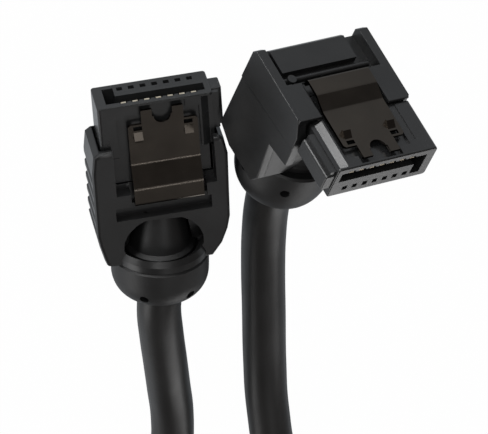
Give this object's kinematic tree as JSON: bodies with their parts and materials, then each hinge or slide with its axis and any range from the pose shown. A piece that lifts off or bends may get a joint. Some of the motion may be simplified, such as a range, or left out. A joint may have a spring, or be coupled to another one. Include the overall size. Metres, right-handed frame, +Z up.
{
  "type": "sata data cable",
  "caption": "Flat-plug serial data cable with a straight end and a right-angle end, each with a sprung metal latch, on one round dark cord",
  "frame": {"origin": "on the floor, under the middle of the two plugs' bounding box", "axes": "+Z is up from the floor; the plugs' mating faces point towards -Y and the cord runs off towards +Y; +X is towards the straight end's side"},
  "size_m": [0.0586, 0.1348, 0.0229],
  "materials": {
    "housing_plastic": "moulded charcoal nylon with a satin face and slightly rounded edges",
    "shell_plastic": "moulded near-black plastic, satin, with fine grip lines",
    "boot_plastic": "soft moulded dark grey strain relief, satin",
    "contact_metal": "thin plated strip, light gold",
    "latch_metal": "black-nickel spring steel, glossy and brown-black",
    "block_plastic": "cured potting, dull dark grey",
    "foil": "wrapped foil, dull silver",
    "cord_jacket": "flexible dark grey jacket, satin",
    "tie_plastic": "black nylon band, satin"
  },
  "bodies": {
    "cable": {"straight_plug_housing": "housing_plastic", "straight_contact_1": "contact_metal", "straight_contact_2": "contact_metal", "straight_contact_3": "contact_metal", "straight_contact_4": "contact_metal", "straight_contact_5": "contact_metal", "straight_contact_6": "contact_metal", "straight_contact_7": "contact_metal", "straight_shell": "shell_plastic", "straight_strain_relief": "boot_plastic", "straight_inner_block": "block_plastic", "straight_wire_pair_a": "foil", "straight_wire_pair_b": "foil", "angled_plug_housing": "housing_plastic", "angled_contact_1": "contact_metal", "angled_contact_2": "contact_metal", "angled_contact_3": "contact_metal", "angled_contact_4": "contact_metal", "angled_contact_5": "contact_metal", "angled_contact_6": "contact_metal", "angled_contact_7": "contact_metal", "angled_shell": "shell_plastic", "angled_strain_relief": "boot_plastic", "angled_inner_block": "block_plastic", "angled_wire_pair_a": "foil", "angled_wire_pair_b": "foil", "cord_straight_side": "cord_jacket", "cord_angled_side": "cord_jacket", "cord_coil": "cord_jacket", "coil_tie": "tie_plastic"},
    "straight_latch": {"straight_latch_spring": "latch_metal"},
    "angled_latch": {"angled_latch_spring": "latch_metal"}
  },
  "joints": [
    {"name": "straight_latch_press", "type": "hinge", "parent": "cable", "child": "straight_latch", "pos_m": [0.0093, -0.00808, 0.00498], "axis": [-1, 0, 0], "range_deg": [0, 3.5], "stiffness_Nm_per_rad": 0.8},
    {"name": "angled_latch_press", "type": "hinge", "parent": "cable", "child": "angled_latch", "pos_m": [-0.01115, -0.01067, 0.02034], "axis": [0.919, -0.2127, 0.332], "range_deg": [0, 3.5], "stiffness_Nm_per_rad": 0.8}
  ]
}
